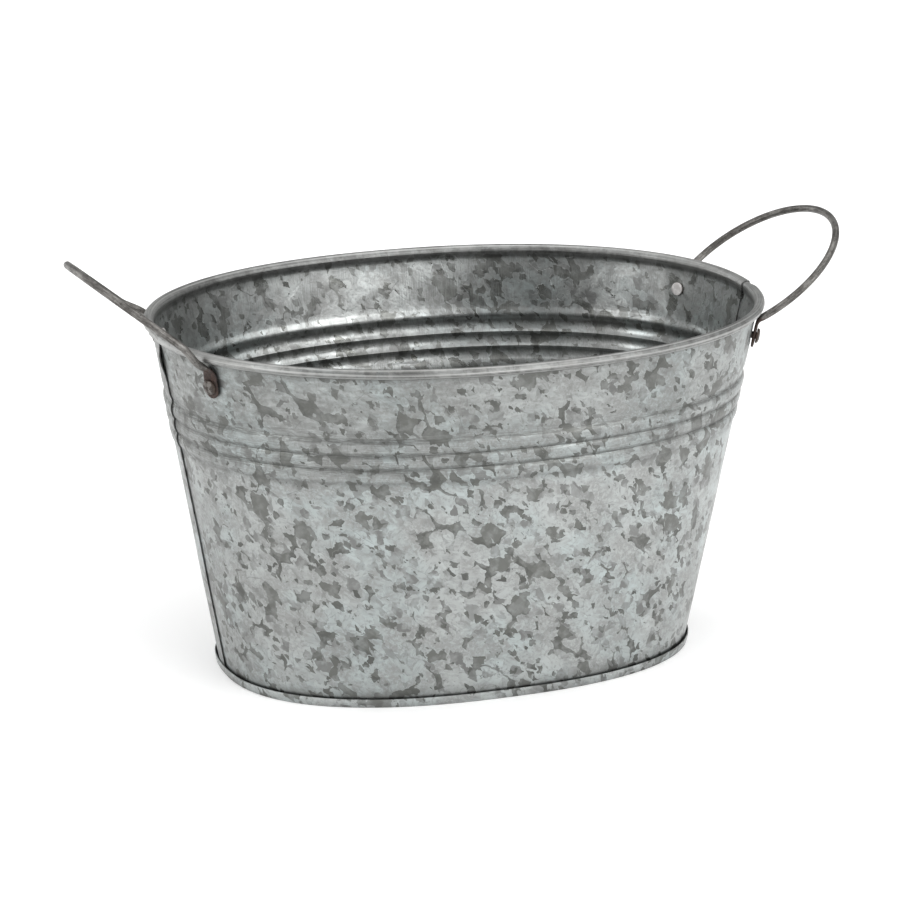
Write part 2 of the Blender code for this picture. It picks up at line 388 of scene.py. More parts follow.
def hand_over(piece, node, finish):
    """Gives a piece its material and sets it in the frame in place of a CAD node."""
    piece.data.materials.clear()
    piece.data.materials.append(finish)
    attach(piece, "root")
    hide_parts(node)


# ---- materials ---------------------------------------------------------------------------


class Value:
    """One output of a node. Sums written with values add the Math nodes that work them out."""

    def __init__(self, finish, socket):
        self.finish = finish
        self.socket = socket

    def out(self, name):
        """Another output of the same node."""
        return Value(self.finish, self.socket.node.outputs[name])

    def maths(self, operation, first, second=0.0):
        return self.finish.node("ShaderNodeMath", {"operation": operation}, {0: first, 1: second})

    def __add__(self, other):
        return self.maths("ADD", self, other)

    def __sub__(self, other):
        return self.maths("SUBTRACT", self, other)

    def __rsub__(self, other):
        return self.maths("SUBTRACT", other, self)

    def __mul__(self, other):
        return self.maths("MULTIPLY", self, other)

    __radd__ = __add__
    __rmul__ = __mul__

    def either(self, other):
        return self.maths("MAXIMUM", self, other)

    def rise(self, low, high):
        """0 up to low and 1 from high, with a smooth step between. With low above high it falls."""
        settings = {"interpolation_type": "SMOOTHSTEP"}
        ends = {"Value": self, "From Min": low, "From Max": high}
        if low > high:
            ends = {"Value": self, "From Min": high, "From Max": low, "To Min": 1.0, "To Max": 0.0}
        return self.finish.node("ShaderNodeMapRange", settings, ends)


class Finish:
    """One material and the nodes in it."""

    def __init__(self, name):
        self.material = bpy.data.materials.new(name)
        self.material.use_nodes = True
        self.tree = self.material.node_tree
        self.tree.nodes.clear()

    def node(self, kind, settings=None, inputs=None, output=0):
        """Adds a node: its settings are set first, then the values or links of its sockets."""
        made = self.tree.nodes.new(kind)
        for name, value in (settings or {}).items():
            setattr(made, name, value)
        for name, value in (inputs or {}).items():
            if isinstance(value, Value):
                self.tree.links.new(value.socket, made.inputs[name])
            else:
                made.inputs[name].default_value = value
        return Value(self, made.outputs[output])

    def place(self, shift):
        """The place on the object in millimetres, shifted so that two finishes don't match."""
        where = self.node("ShaderNodeTexCoord", output="Object")
        scaled = {"operation": "MULTIPLY_ADD"}
        return self.node("ShaderNodeVectorMath", scaled, {0: where, 1: (1000,) * 3, 2: shift})

    def mark(self, name):
        """A number that the mesh stores for each vertex, 0 where it has none."""
        return self.node("ShaderNodeAttribute", {"attribute_name": name}, output="Fac")

    def strands(self):
        """The place along and across a piece, each from 0 to 1, for what follows its length."""
        return self.node("ShaderNodeUVMap", {"uv_map": "UVMap"})

    def stretch(self, place, factors):
        return self.node("ShaderNodeVectorMath", {"operation": "MULTIPLY"}, {0: place, 1: factors})

    def slanted(self, place, slant, lengths):
        """The place in axes that are turned about Y by slant degrees and drawn out to lengths."""
        inputs = {"Vector": place, "Rotation": (0, math.radians(slant), 0), "Scale": lengths}
        return self.node("ShaderNodeMapping", {"vector_type": "TEXTURE"}, inputs)

    def noise(self, place, size, detail=2.0, roughness=0.5):
        """Cloudy noise whose blotches are about size millimetres wide."""
        inputs = {"Vector": place, "Scale": 1 / size, "Detail": detail, "Roughness": roughness}
        return self.node("ShaderNodeTexNoise", None, inputs)

    def cells(self, place, size, feature="F1", distance="EUCLIDEAN"):
        settings = {"feature": feature, "distance": distance}
        return self.node("ShaderNodeTexVoronoi", settings, {"Vector": place, "Scale": 1 / size})

    def warp(self, place, size, amount):
        """The place pushed about by noise, so that straight cell edges break up."""
        push = self.noise(place, size, 2).out("Color")
        centred = self.node("ShaderNodeVectorMath", {"operation": "SUBTRACT"}, {0: push, 1: (0.5,) * 3})
        scaled = {"operation": "MULTIPLY_ADD"}
        return self.node("ShaderNodeVectorMath", scaled, {0: centred, 1: (amount,) * 3, 2: place})

    def channel(self, colour, name):
        return self.node("ShaderNodeSeparateColor", None, {"Color": colour}, name)

    def blend(self, factor, first, second):
        """Mixes two colours. A Mix node keeps its colour sockets at inputs 6 and 7 and output 2."""
        first, second = (c if isinstance(c, Value) else (*c, 1) for c in (first, second))
        return self.node("ShaderNodeMix", {"data_type": "RGBA"}, {0: factor, 6: first, 7: second}, 2)

    def bump(self, height, depth):
        return self.node("ShaderNodeBump", None, {"Strength": 1.0, "Distance": depth, "Height": height})

    def surface(self, **inputs):
        """Ends the material in a Principled BSDF."""
        named_inputs = {name.replace("_", " "): value for name, value in inputs.items()}
        shader = self.node("ShaderNodeBsdfPrincipled", None, named_inputs)
        end = self.tree.nodes.new("ShaderNodeOutputMaterial")
        self.tree.links.new(shader.socket, end.inputs["Surface"])
        return self.material


def dark_flakes(finish, place, ragged, size):
    """Dark flakes, how they fade, their own tint, and the slow noise that crowds them."""
    discs = finish.cells(ragged, size)
    crowding = finish.noise(place, size * 3.2, 2)
    gaps = (discs + crowding * 0.34).rise(0.925, 0.935)
    shards = finish.cells(ragged, size * 0.46, distance="MANHATTAN")
    luck = finish.channel(shards.out("Color"), "Red")
    spread = finish.channel(shards.out("Color"), "Green")
    small = luck.rise(0.84, 0.845) * (shards - spread * 0.5).rise(0.52, 0.50)
    slabs = finish.cells(finish.warp(ragged, size * 0.8, size * 0.7), size, distance="MANHATTAN")
    large = finish.channel(slabs.out("Color"), "Blue").rise(0.905, 0.908)
    fading = finish.noise(finish.warp(place, 4, 3), size * 0.75, 2, 0.5).rise(0.64, 0.42)
    dark = gaps.either(small).either(large) * (0.66 + fading * 0.34)
    return dark, fading, finish.channel(discs.out("Color"), "Blue"), crowding


def roll_colour(finish, place, drawn):
    """The roll is darker and blotched, with painted highlight lines along its length."""
    blotched = finish.noise(finish.warp(place, 2.0, 2.0), 5.5, 3, 0.6).rise(0.40, 0.62)
    patchy = blotched * 0.5 + drawn.rise(0.36, 0.62) * 0.5
    rolled = finish.blend(patchy, scaled(ROLL_TINT, 0.10), scaled(ROLL_TINT, 0.25))
    # Painted highlight lines along the roll, broken up by the drawn noise.
    wear_and_highlight = finish.mark("roll_highlight") * (0.40 + drawn.rise(0.36, 0.60) * 0.50)
    return finish.blend(wear_and_highlight, rolled, scaled(ROLL_TINT, 0.52))


def zinc_finish(name, settings, shift, brushed):
    """Hot-dipped zinc: pale frosted crystals with sharp dark flakes, haze, specks and scratches, with
    painted shade in hollows and painted highlight lines on the roll.
    """
    finish = Finish(name)
    place = finish.place(shift)
    size = settings.flake_size
    lining, grime_and_shade, painted_shade, roll = (finish.mark(mark) for mark in ("lining", "grime_and_shade", "painted_shade", "roll"))
    strands = finish.strands()

    # Crystals lie a little longer down one slant, with edges bent slowly and torn finely.
    laid = finish.slanted(place, 48, (1.35, 1.0, 0.9))
    loose = finish.warp(laid, size * 0.9, size * 0.75)
    ragged = finish.warp(finish.warp(loose, size * 0.36, size * 0.24), size * 0.10, size * 0.06)
    dark, fading, flake_tint, crowding = dark_flakes(finish, place, ragged, size)

    # Paler crystals differ a little in tone, and each is brushed with its own direction of fine frost.
    sheets = finish.cells(ragged, size * 0.62, distance="MANHATTAN")
    tint = sheets.out("Color")
    sheet_luck, sheet_tone = finish.channel(tint, "Red"), finish.channel(tint, "Green")
    dim = sheet_luck.rise(0.72, 0.73) * (0.25 + sheet_tone * 0.75) * (0.30 + fading * 0.70)
    axis = finish.node("ShaderNodeVectorMath", {"operation": "SUBTRACT"}, {0: tint, 1: (0.5,) * 3})
    turn = {"Vector": place, "Axis": axis, "Angle": sheet_tone * (2 * math.pi)}
    turned = finish.node("ShaderNodeVectorRotate", None, turn)
    feather = finish.noise(finish.stretch(turned, (0.16, 1.0, 1.0)), 1.9, 3, 0.62)
    frost = finish.noise(finish.warp(place, 3.0, 3.0), 2.2, 5, 0.66)
    cloud = finish.noise(place, size * 2.4, 3)
    hazed = cloud.rise(0.42, 0.58) * (0.30 + frost.rise(0.42, 0.58) * 0.70)

    # Hairline scratches, specks of soot, and painted shade in the grooves, on the upper band and towards
    # the left end, broken into patches.
    hairs = finish.cells(finish.warp(place, 30, 9), 19, "DISTANCE_TO_EDGE")
    scratch = hairs.rise(0.010, 0.004) * finish.noise(place, 12, 2).rise(0.52, 0.60)
    specks = finish.cells(place, 7.5)
    speck_luck = finish.channel(specks.out("Color"), "Red")
    speck = specks.rise(0.070, 0.050) * speck_luck.rise(0.95, 0.96)
    shade_patches = finish.noise(finish.stretch(strands, (60, 140, 1)), 1.0, 3, 0.6)
    shading = painted_shade * (0.45 + shade_patches.rise(0.30, 0.62) * 0.55)

    # Inside, big crystals overlap like upright scales, each lighter along one edge.
    scales = finish.cells(finish.warp(finish.stretch(place, (1, 1, 0.62)), 9, 7), 10.5)
    scale_tone = finish.channel(scales.out("Color"), "Red")
    scale_edge = scales.rise(0.42, 0.72)
    brush = finish.noise(finish.stretch(strands, (1100, 22, 1)), 1.0, 2, 0.7)
    brushing = lining * brushed * finish.noise(place, 16, 2).rise(0.42, 0.54)
    strokes = brush.rise(0.43, 0.57) * brushing
    inner = (scale_tone * 0.62 + scale_edge * 0.20) * lining + strokes * 0.55

    cool = tuple(c * f for c, f in zip(settings.bright, (0.955, 1.01, 1.02)))
    mid = scaled(settings.haze, 0.60)
    colour = finish.blend(finish.noise(place, 46, 2).rise(0.40, 0.62), settings.bright, cool)
    colour = finish.blend(sheet_tone * 0.42, colour, settings.haze)
    colour = finish.blend(feather.rise(0.58, 0.36) * 0.50, colour, settings.haze)
    colour = finish.blend(hazed * 0.85, colour, settings.haze)
    colour = finish.blend(dim, colour, mid)
    colour = finish.blend((frost + feather).rise(0.94, 0.78) * 0.35, colour, mid)
    colour = finish.blend(inner * 0.55, colour, mid)
    flake = finish.blend(flake_tint, settings.flake, scaled(settings.flake, 1.6))
    colour = finish.blend(dark * (0.97 - strokes * 0.35), colour, flake)
    colour = finish.blend(scratch * 0.35, colour, scaled(settings.haze, 0.45))
    # Painted shade in the grooves, on the upper band and towards the left end.
    colour = finish.blend(shading * 0.80, colour, settings.flake)
    colour = finish.blend(speck * 0.9, colour, SPECK_COLOUR)
    # Painted shade under the roll, in its curled end, along the lapped edges and in the base's corner; the
    # wall and the base's lip are also darker towards their foot.
    colour = finish.blend(grime_and_shade * 0.75, colour, scaled(settings.flake, 0.42))
    drawn = finish.noise(finish.stretch(strands, (7, 75, 1)), 1.0, 4, 0.55)
    colour = finish.blend(roll * 0.82, colour, roll_colour(finish, place, drawn))

    shine = 0.28 - dark * 0.04 + hazed * 0.08 + feather * 0.10 - lining * 0.04 + brush * brushing * 0.12
    relief = frost * 0.30 + feather * 0.45 + dark * 0.20 + crowding * 0.5 - scratch * 0.5
    relief = relief + brush * brushing * 0.6 + drawn * roll * 1.4
    return finish.surface(
        Base_Color=colour,
        Roughness=shine + shading * 0.15 + roll * 0.08,
        Metallic=0.88,
        Normal=finish.bump(relief, 0.00016),
    )


def wire_finish(name, settings):
    """Blackened steel wire, rubbed bright in stretches and rusted at its flattened ends."""
    finish = Finish(name)
    place = finish.place((31.0, 7.0, 12.0))
    drawn = finish.noise(finish.stretch(finish.strands(), (70, 26, 1)), 1.0, 4, 0.65)
    stretches = finish.noise(place, 15, 3, 0.6)
    fine = finish.noise(place, 1.4, 5, 0.65)
    grain = finish.noise(place, 0.45, 2, 0.6)
    # On the wire this mask is only wear: stretches rubbed pale by hands.
    wear_and_highlight = (stretches * 0.40 + drawn * 0.40 + fine * 0.20).rise(0.42, 0.60)
    colour = finish.blend(wear_and_highlight, settings.dark, settings.worn)
    pits = finish.cells(finish.warp(place, 1.5, 1.0), 2.6)
    pit = pits.rise(0.26, 0.14) * finish.noise(place, 9, 2).rise(0.48, 0.60)
    colour = finish.blend(pit * 0.7, colour, scaled(settings.dark, 0.4))
    rusted = (finish.mark("rust") * 1.2 + fine * 0.9 - 0.75).rise(0.0, 0.38)
    rust_colour = finish.blend(fine.rise(0.42, 0.60), scaled(settings.rust, 0.40), settings.rust)
    colour = finish.blend(rusted * 0.92, colour, rust_colour)
    return finish.surface(
        Base_Color=colour,
        Roughness=0.40 - wear_and_highlight * 0.10 + rusted * 0.30 + grain * 0.10,
        Metallic=0.85 - rusted * 0.70,
        Normal=finish.bump(grain * 0.4 + fine * 0.7 + drawn * 0.5 - pit * 0.6, 0.00012),
    )


def rivet_finish(name):
    """Soft steel, bright on the inner heads and dull outside, with stain and a painted ring of shade round
    the heads' edges.
    """
    finish = Finish(name)
    place = finish.place((3.0, 19.0, 5.0))
    blotch = finish.noise(place, 2.6, 4, 0.6)
    fine = finish.noise(place, 0.5, 3, 0.6)
    inside = finish.mark("inside")
    fresh = finish.blend(blotch.rise(0.38, 0.64), *RIVET_FRESH)
    dull = finish.blend(blotch.rise(0.42, 0.60), *RIVET_DULL)
    colour = finish.blend(inside, dull, fresh)
    # Stain and painted shade darken the heads where they meet the sheet and round their edges.
    stain_and_shade = (finish.mark("grime_and_shade") + fine * 0.35 - 0.25).rise(0.0, 0.8)
    colour = finish.blend(stain_and_shade * 0.85, colour, RIVET_STAIN_AND_SHADE)
    return finish.surface(
        Base_Color=colour,
        Roughness=0.34 + stain_and_shade * 0.3 + fine * 0.08,
        Metallic=0.86 - inside * 0.45,
        Normal=finish.bump(blotch * 0.7 + fine * 0.3, 0.00010),
    )


def floor_finish(name, settings):
    """Smooth matt paint with the faintest cloudiness."""
    finish = Finish(name)
    cloud = finish.noise(finish.place((0, 0, 0)), 700, 2)
    colour = finish.blend(cloud, settings.floor, scaled(settings.floor, 0.985))
    glow = {"Emission_Color": (1, 1, 1, 1), "Emission_Strength": settings.table}
    return finish.surface(Base_Color=colour, Roughness=0.9, **glow)


# ---- wall panels -------------------------------------------------------------------------


def bezier(a, b, c, d, t):
    return a * (1 - t) ** 3 + b * 3 * t * (1 - t) ** 2 + c * 3 * t * t * (1 - t) + d * t ** 3


def roll_point(radius, turn):
    return ROLL_OUTSET + radius * math.cos(turn), ROLL_HEIGHT + radius * math.sin(turn)


def wall_profile(lap, opened, bead_height):
    """Rows (offset, height) up the sheet's outer face and round the roll, from foot to free edge.

    At lap 1 the sheet lies outside its neighbour. At opened 1 the roll leaves room for the
    neighbour's wall.
    """
    step = lap * LAP_STEP
    bead_bottom = BEAD_TOP - (BEAD_COUNT - 0.5) * BEAD_PITCH
    bead_end = BEAD_TOP + BEAD_PITCH / 2
    rows = [(0, mix(WALL_FOOT, bead_bottom, i / FLAT_ROWS)) for i in range(FLAT_ROWS)]
    for i in range(BEAD_COUNT * BEAD_ROWS + 1):
        across = abs((i / BEAD_ROWS) % 1 - 0.5) * 2
        ridge = (1 - min(across / BEAD_FILL, 1) ** BEAD_FLATNESS) ** BEAD_FULLNESS
        rows.append((bead_height * ridge, mix(bead_bottom, bead_end, i / BEAD_COUNT / BEAD_ROWS)))
    dip_end = DIP_HEIGHT + DIP_HALF_HEIGHT
    for i in range(1, DIP_ROWS + 1):
        height = mix(bead_end, dip_end, i / DIP_ROWS)
        away = (height - DIP_HEIGHT) / DIP_HALF_HEIGHT
        rows.append((-DIP_DEPTH * smooth(1 - abs(away)), height))
    rows += [(0, mix(dip_end, WALL_TOP, i / BROW_ROWS)) for i in range(1, BROW_ROWS + 1)]
    rows = [(offset + step, height) for offset, height in rows]
    radius = ROLL_RADIUS - step
    start = Vector(roll_point(radius, ROLL_START))
    heading = Vector((math.sin(ROLL_START), -math.cos(ROLL_START)))
    top = Vector((step, WALL_TOP))
    for i in range(1, NECK_ROWS):
        neck = bezier(top, top + Vector((0, 0.0015)), start - heading * 0.0012, start, i / NECK_ROWS)
        rows.append(tuple(neck))
    end = mix(ROLL_CLOSED, ROLL_OPEN, opened)
    for i in range(ROLL_ROWS + 1):
        rows.append(roll_point(radius, mix(ROLL_START, end, i / ROLL_ROWS)))
    return rows


def groove_shade(height, raised):
    """How much painted shade lies in the grooves at a height: beside the beads outside, on them inside."""
    if raised:
        reach = GROOVE_REACH
        lines = [BEAD_TOP + (0.55 - i) * BEAD_PITCH for i in range(BEAD_COUNT + 1)]
    else:
        reach = GROOVE_REACH * 0.7
        lines = [BEAD_TOP - (i - 0.22) * BEAD_PITCH for i in range(BEAD_COUNT)]
    shading = 0
    for i, line in enumerate(lines):
        depth = 0.5 if i == BEAD_COUNT else 1.0
        shading += depth * math.exp(-((height - line) / reach) ** 2)
    return min(shading, 1)


def sheet_wave(place, depth, ears):
    """How far the sheet stands off its true line: slow waves, and the pucker round each rivet."""
    calm = smooth((place.z - 0.006) / 0.03) * smooth((0.197 - place.z) / 0.02)
    quick = noise.noise(place * QUICK_WAVES + Vector((5, 3, 1)))
    wave = noise.noise(place * SLOW_WAVES) + 0.45 * quick
    pucker = 0
    for centre in ears:
        away = (place - centre).length / PUCKER_RADIUS
        pucker += smooth(away) * smooth((2.2 - away) / 1.2)
    return calm * depth * wave + pucker * PUCKER_DEPTH


def lap_lift(angle, height):
    """How far the lap's outer edge stands off its neighbour."""
    edge = smooth((angle - LAP_LIFT_ANGLE) / 0.040)
    return LAP_LIFT * edge * (smooth((height - LAP_LIFT_START) / 0.016)
                              * smooth((LAP_LIFT_END - height) / 0.010))


def panel_marks(panel, profiles, roll_start):
    """Each mark that the zinc reads, for the sheet's outer face followed by its inner face."""
    last_row = roll_start + ROLL_ROWS
    marks = {name: ([], []) for name in ("lining", "grime_and_shade", "roll", "roll_highlight", "painted_shade")}
    for i, vert in enumerate(panel.data.vertices):
        row, column = divmod(i, PANEL_COLUMNS + 1)
        height = profiles[column][row][1]
        turn = mix(ROLL_START, ROLL_CLOSED, (row - roll_start) / ROLL_ROWS)
        # Painted highlight lines along the roll; the same mask makes the roll paler towards both ends of
        # the tub.
        wear_and_highlight = max(math.exp(-((turn - line) / ROLL_HIGHLIGHT_WIDTH) ** 2) for line in ROLL_HIGHLIGHT_LINES)
        pale_end = 0.62 * smooth((abs(vert.co.x) - 0.125) / 0.045)
        # The wall is darker towards its foot. Painted shadow falls under the roll at the neck, and painted
        # shade in the roll's curled end and along the lapped edges.
        foot = 1 - smooth((height - 0.004) / 0.010)
        neck = smooth((height - 0.1955) / 0.005) * (1 - smooth((row - roll_start) / 5))
        roll_end_shade = smooth((row - last_row + 8) / 8)
        seam_shade = 1.0 if column in (0, PANEL_COLUMNS) else 0.0
        # Painted shade towards the left end of the tub and a darker upper band on the outside; painted
        # shade in the bead grooves and, inside, under the roll.
        shaded_left_end = 0.26 * smooth((0.04 - vert.co.x) / 0.16)
        darker_top = 0.36 * smooth((height - 0.138) / 0.006)
        grime_and_shade = min(0.55 * foot + 0.32 * neck + 0.8 * roll_end_shade + seam_shade, 1)
        roll = smooth((row - roll_start + 4) / 4)
        roll_highlight = max(wear_and_highlight, pale_end)
        outer_shade = min(max(groove_shade(height, True), darker_top) + shaded_left_end, 1)
        inner_shade = groove_shade(height, False) * 0.7 + 0.42 * neck
        faces = {
            "lining": (0.0, 1 - smooth((row - roll_start + 3) / 5)),
            "grime_and_shade": (grime_and_shade, grime_and_shade),
            "roll": (roll, roll),
            "roll_highlight": (roll_highlight, roll_highlight),
            "painted_shade": (outer_shade, inner_shade),
        }
        for name, (outer, inner) in faces.items():
            marks[name][0].append(outer)
            marks[name][1].append(inner)
    return {name: outer + inner for name, (outer, inner) in marks.items()}


def add_wall_panel(name, half_turn, settings, ears):
    """Half of the wall, beads and roll, as one curved sheet that is then given its thickness."""
    first, last = -LAP_INSIDE, math.pi + LAP_OUTSIDE
    span = PANEL_COLUMNS - 2
    between = [mix(first + EDGE_BAND, last - EDGE_BAND, i / span) for i in range(span + 1)]
    angles = [first, *between, last]
    profiles = []
    for angle in angles:
        lap = smooth((angle - (math.pi - JOGGLE_START)) / (JOGGLE_START - JOGGLE_END))
        tucked = smooth((0.085 - angle) / 0.06)
        profiles.append(wall_profile(lap, max(lap, tucked), settings.bead_height))
    rows = len(profiles[0]) - 1
    roll_start = rows - ROLL_ROWS

    def place(column, row):
        angle = angles[column]
        offset, height = profiles[column][row]
        if row < roll_start:
            offset += sheet_wave(oval(angle + half_turn, height, 0), settings.unevenness, ears)
            offset += lap_lift(angle, height)
        return oval(angle + half_turn, height, offset)

    panel = wrapped_grid(name, PANEL_COLUMNS, rows, place)
    marks = panel_marks(panel, profiles, roll_start)
    apply_modifier(panel, "SOLIDIFY", thickness=SHEET, offset=-1, use_even_offset=True)
    for mark, values in marks.items():
        paint_points(panel, mark, values)
    shade(panel, 40)
    return panel


class TUB_OT_add_wall(bpy.types.Operator):
    """Adds the two wall panels, lapped at the ends of the oval"""

    bl_idname = "tub.add_wall"
    bl_label = "Wall Panels"

    def execute(self, context):
        settings = context.scene.tub_sheet
        ears = [ear(*sides).translation for sides in SIDES.values()]
        finish = zinc_finish("galvanised_wall", settings, (11.0, 3.0, 40.0), 1.0)
        for name, node, half_turn in (
            ("tub_wall_rear", "wall_panel_rear", 0),
            ("tub_wall_front", "wall_panel_front", math.pi),
        ):
            panel = add_wall_panel(name, half_turn, settings, ears)
            hand_over(panel, node, finish)
        return {"FINISHED"}


# ---- base pan ----------------------------------------------------------------------------


def on_oval(height, offset):
    """A move that carries a point to the oval at a height, at its own angle."""
    half_length, half_width, power = oval_sizes(height, 0)

    def move(co):
        x, y = co.x / half_length, co.y / half_width
        rise = math.copysign(abs(y) ** (1 / power), y)
        run = math.copysign(abs(x) ** (1 / power), x)
        return oval(math.atan2(rise, run), height, offset)

    return move


def pan_marks(pan):
    """Where the plate shows inside the tub, painted shade in its corner, and the lip darker towards its
    foot.
    """
    half_length, half_width, power = oval_sizes(PLATE_HEIGHT, 0)
    lining, grime_and_shade = [], []
    for vert in pan.data.vertices:
        x, y, z = vert.co
        reach = (abs(x) / half_length) ** (2 / power) + (abs(y) / half_width) ** (2 / power)
        on_plate = CHANNEL_HEIGHT + SHEET < z < PLATE_HEIGHT + SHEET
        lining.append(1.0 if on_plate and reach < 1 else 0.0)
        # Painted shade in the corner where the plate meets the channel; the lip outside is darker towards
        # its foot.
        corner = 0.8 * smooth((reach - 0.93) / 0.06) * (reach < 1)
        foot = 0.35 * (1 - smooth((z - 0.0012) / 0.0010)) * (reach > 1)
        grime_and_shade.append(corner + foot)
    return lining, grime_and_shade


class TUB_OT_add_base(bpy.types.Operator):
    """Adds the base pan: a plate whose edge folds into a channel and a lip round the wall's foot"""

    bl_idname = "tub.add_base"
    bl_label = "Base Pan"

    def execute(self, context):
        clear_selection()
        bpy.ops.mesh.primitive_circle_add(vertices=PAN_SIDES, radius=1, fill_type="NGON")
        pan = named("tub_base")
        with editing(pan):
            bpy.ops.mesh.select_all(action="SELECT")
            move_selected(pan, lambda co: oval(math.atan2(co.y, co.x), PLATE_HEIGHT, CHANNEL_INNER))
            bpy.ops.mesh.inset(thickness=PLATE_BORDER)
            bpy.ops.mesh.inset(thickness=PLATE_STEP_WIDTH, depth=-PLATE_STEP_DEPTH)
            bpy.ops.mesh.inset(thickness=PLATE_INNER_BORDER)
            bpy.ops.mesh.select_all(action="DESELECT")
            bpy.ops.mesh.select_non_manifold(extend=False)
            for offset, height in (
                (CHANNEL_INNER, CHANNEL_HEIGHT),
                (CHANNEL_OUTER - 0.0004, CHANNEL_HEIGHT),
                (CHANNEL_OUTER - 0.0001, CHANNEL_HEIGHT + 0.0003),
                (CHANNEL_OUTER - 0.0001, CHANNEL_HEIGHT + 0.0008),
                (CHANNEL_OUTER - 0.0003, CHANNEL_HEIGHT + 0.0011),
                (CHANNEL_OUTER, CHANNEL_HEIGHT + 0.0015),
                (CHANNEL_OUTER, LIP_HEIGHT - 0.0009),
                (CHANNEL_OUTER - 0.0002, LIP_HEIGHT),
            ):
                bpy.ops.mesh.extrude_edges_move(TRANSFORM_OT_translate={"value": (0, 0, 0)})
                move_selected(pan, on_oval(height, offset))
            bpy.ops.mesh.select_all(action="SELECT")
            bpy.ops.mesh.normals_make_consistent(inside=False)
        apply_modifier(pan, "BEVEL", width=FOLD_WIDTH, segments=2, limit_method="ANGLE",
                       angle_limit=math.radians(50))
        apply_modifier(pan, "SOLIDIFY", thickness=SHEET, offset=0)
        lining, grime_and_shade = pan_marks(pan)
        paint_points(pan, "lining", lining)
        paint_points(pan, "grime_and_shade", grime_and_shade)
        shade(pan, 40)
        finish = zinc_finish("galvanised_base", context.scene.tub_sheet, (211.0, 97.0, 3.0), 0.0)
        hand_over(pan, "base_pan", finish)
        return {"FINISHED"}


# ---- wires -------------------------------------------------------------------------------


def tube(name, stations, closed):
    """A tube through stations (place, thick axis, half width, half thickness, squareness)."""
    last = len(stations) - 1

    def place(column, row):
        centre, axis, half_width, half_thickness, squareness = stations[column]
        if closed:
            before, after = stations[(column - 1) % last][0], stations[(column + 1) % last][0]
        else:
            before, after = stations[max(column - 1, 0)][0], stations[min(column + 1, last)][0]
        heading = (after - before).normalized()
        thick = (axis - heading * axis.dot(heading)).normalized()
        wide = heading.cross(thick)
        across, through = squared_turn(2 * math.pi * row / WIRE_SIDES, 2 / squareness)
        return centre + wide * half_width * across + thick * half_thickness * through

    made = wrapped_grid(name, last, WIRE_SIDES, place)
    with editing(made):
        bpy.ops.mesh.select_all(action="SELECT")
        bpy.ops.mesh.remove_doubles(threshold=0.00001)
        if not closed:
            bpy.ops.mesh.fill_holes(sides=0)
        bpy.ops.mesh.select_all(action="SELECT")
        bpy.ops.mesh.normals_make_consistent(inside=False)
    return made


def loop_path(side, reach, tilt, twist, half_width):
    """The loop's own function (turn, flank) -> point, and the axis across the loop's plane."""
    along = Vector((side * math.cos(tilt), 0, math.sin(tilt)))
    across = Vector((side * math.sin(tilt), 0, -math.cos(tilt)))
    pivot = Vector((side * LOOP_PIVOT_X, 0, LOOP_PIVOT_HEIGHT))

    def path(turn, flank):
        out = LOOP_CENTRE + (reach - LOOP_CENTRE) * math.sin(turn)
        sideways = flank * half_width * math.cos(turn)
        lift = sideways * math.tan(twist) * smooth((out - LOOP_JOIN) / (TWIST_FULL - LOOP_JOIN))
        return pivot + along * out - across * lift + Vector((0, sideways, 0))

    return path, across


def half_handle(side, flank, reach, path, across, radius):
    """Stations from a paddle's tip up round its bend and along the loop to the loop's middle."""
    placed = ear(side, flank)
    outward, up = placed.col[2].xyz, placed.col[1].xyz
    centre = placed.translation + outward * (PADDLE_GAP + PADDLE_HALF_THICKNESS)
    stations = []
    for i in range(TIP_STEPS):
        turn = mix(TIP_START, 1, i / (TIP_STEPS - 1)) * math.pi / 2
        drop = PADDLE_HALF_WIDTH * (1 - math.cos(turn))
        thickness = PADDLE_HALF_THICKNESS * mix(TIP_THINNESS, 1, math.sin(turn))
        place = centre - up * (PADDLE_BELOW - drop)
        half_width = PADDLE_HALF_WIDTH * math.sin(turn)
        stations.append((place, outward, half_width, thickness, PADDLE_SQUARENESS))
    lowest = centre - up * (PADDLE_BELOW - PADDLE_HALF_WIDTH)
    top = centre + up * PADDLE_ABOVE
    flat = (outward, PADDLE_HALF_WIDTH, PADDLE_HALF_THICKNESS, PADDLE_SQUARENESS)
    for share in (0.2, 0.4, 0.6, 0.8):
        stations.append((lowest.lerp(top, share), *flat))
    first = math.asin((LOOP_JOIN - LOOP_CENTRE) / (reach - LOOP_CENTRE))
    start = path(first, flank)
    heading = (path(first + 0.01, flank) - start).normalized()
    for i in range(BEND_STEPS):
        t = i / BEND_STEPS
        place = bezier(top, top + up * BEND_PULL, start - heading * BEND_PULL, start, t)
        shift = smooth(t)
        axis = outward.lerp(across, shift)
        half_width = mix(PADDLE_HALF_WIDTH, radius, shift)
        half_thickness = mix(PADDLE_HALF_THICKNESS, radius, shift)
        stations.append((place, axis, half_width, half_thickness, mix(PADDLE_SQUARENESS, 2, shift)))
    for i in range(LOOP_STEPS + 1):
        place = path(mix(first, math.pi / 2, i / LOOP_STEPS), flank)
        stations.append((place, across, radius, radius, 2))
    return stations


def add_handle(name, side, reach, tilt, twist, settings):
    """One wire from a paddle round its loop to the other paddle, with a mark of where it may rust."""
    path, across = loop_path(side, reach, tilt, twist, settings.loop_half_width)
    rear = half_handle(side, 1, reach, path, across, settings.wire_radius)
    front = half_handle(side, -1, reach, path, across, settings.wire_radius)
    handle = tube(name, rear + front[-2::-1], False)
    ears = [ear(side, flank).translation for flank in (-1, 1)]
    nearest = [min((vert.co - centre).length for centre in ears) for vert in handle.data.vertices]
    paint_points(handle, "rust", [1 - smooth((away - 0.004) / 0.014) for away in nearest])
    shade(handle, 60)
    return handle


